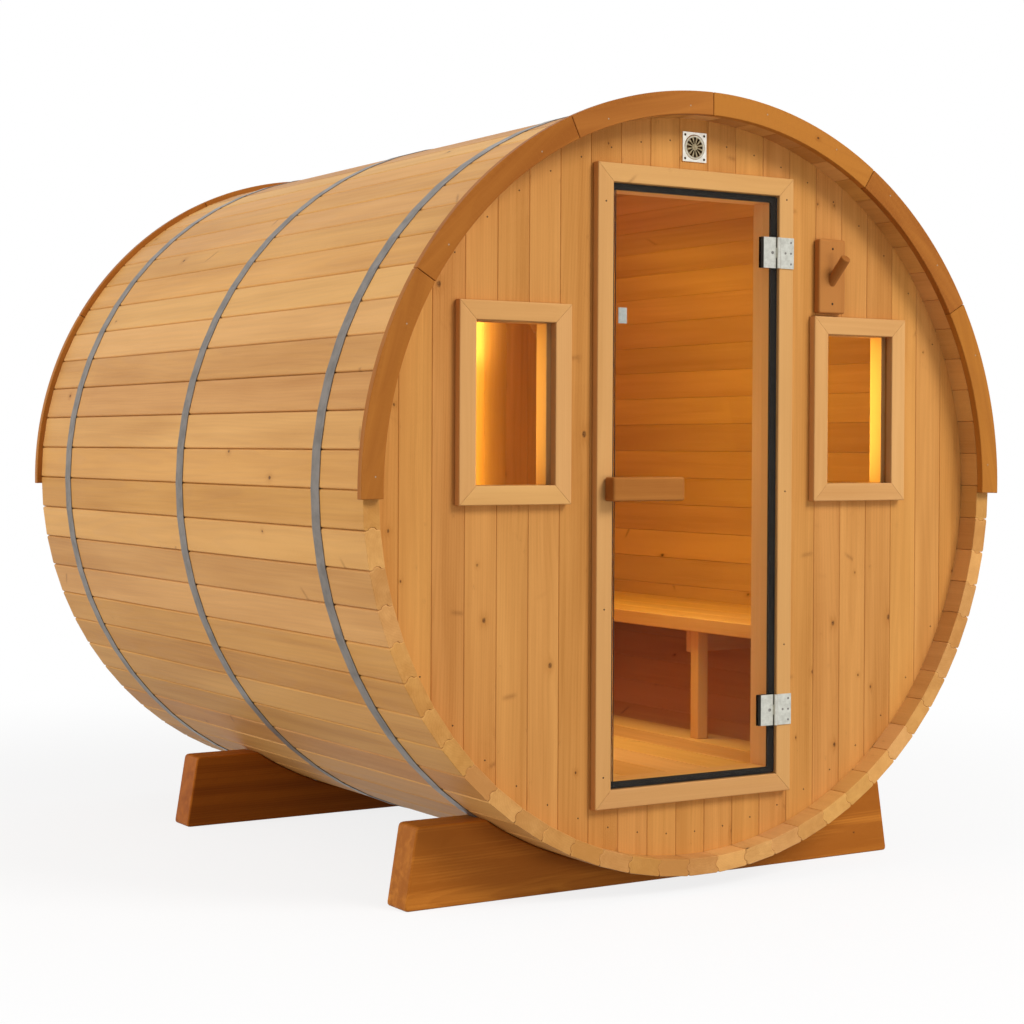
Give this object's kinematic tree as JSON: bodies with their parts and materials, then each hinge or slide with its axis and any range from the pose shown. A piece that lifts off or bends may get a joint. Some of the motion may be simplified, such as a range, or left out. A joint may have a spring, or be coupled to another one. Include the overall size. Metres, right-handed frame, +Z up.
{
  "type": "barrel sauna",
  "caption": "Timber barrel cabin of bead-and-cove staves held by steel hoops on two cradles, with a hinged glass door, small side windows and a bench inside.",
  "frame": {"origin": "on the ground under the middle of the barrel", "axes": "+X to the right of someone facing the door, +Y from the door to the back wall, +Z up"},
  "size_m": [1.8586, 2.0517, 1.8842],
  "materials": {
    "stave_wood": "clear-oiled softwood",
    "trim_wood": "stained softwood",
    "wall_wood": "clear-oiled softwood boards",
    "casing_wood": "clear-oiled softwood",
    "cradle_wood": "stained softwood",
    "handle_wood": "oiled hardwood",
    "interior_wood": "plain softwood",
    "hoop_steel": "rolled band",
    "hinge_steel": "satin",
    "vent_steel": "satin",
    "seal_rubber": "matt black",
    "door_glass": "clear toughened glass",
    "window_glass": "clear glass"
  },
  "bodies": {
    "cabin": {"staves_bottom": "stave_wood", "staves_lower_right": "stave_wood", "staves_upper_right": "stave_wood", "staves_top": "stave_wood", "staves_upper_left": "stave_wood", "staves_lower_left": "stave_wood", "hoop_front": "hoop_steel", "hoop_middle": "hoop_steel", "hoop_rear": "hoop_steel", "cradle_front": "cradle_wood", "cradle_rear": "cradle_wood", "end_trim_front": "trim_wood", "end_trim_rear": "trim_wood", "front_wall_left": "wall_wood", "front_wall_right": "wall_wood", "front_wall_over_door": "wall_wood", "front_wall_under_door": "wall_wood", "rear_wall": "wall_wood", "door_casing": "casing_wood", "door_jamb": "casing_wood", "door_seal": "seal_rubber", "hinge_leaves": "hinge_steel", "window_trim_left": "casing_wood", "window_liner_left": "casing_wood", "window_glass_left": "window_glass", "window_trim_right": "casing_wood", "window_liner_right": "casing_wood", "window_glass_right": "window_glass", "vent_plate": "vent_steel", "vent_grille": "vent_steel", "hook_block": "handle_wood", "hook_peg": "handle_wood", "floor_boards": "interior_wood", "floor_joists": "interior_wood", "bench_seat": "interior_wood", "bench_legs": "interior_wood", "bench_bearers": "interior_wood"},
    "door": {"door_glass": "door_glass", "hinge_clamps": "hinge_steel", "hinge_pads": "seal_rubber", "door_handle_outside": "handle_wood", "door_handle_inside": "handle_wood", "catch_plate": "hinge_steel"}
  },
  "joints": [
    {"name": "door_hinge", "type": "hinge", "parent": "cabin", "child": "door", "pos_m": [0.24, -0.9735, 0.959], "axis": [0, 0, 1], "range_deg": [0, 110]}
  ]
}
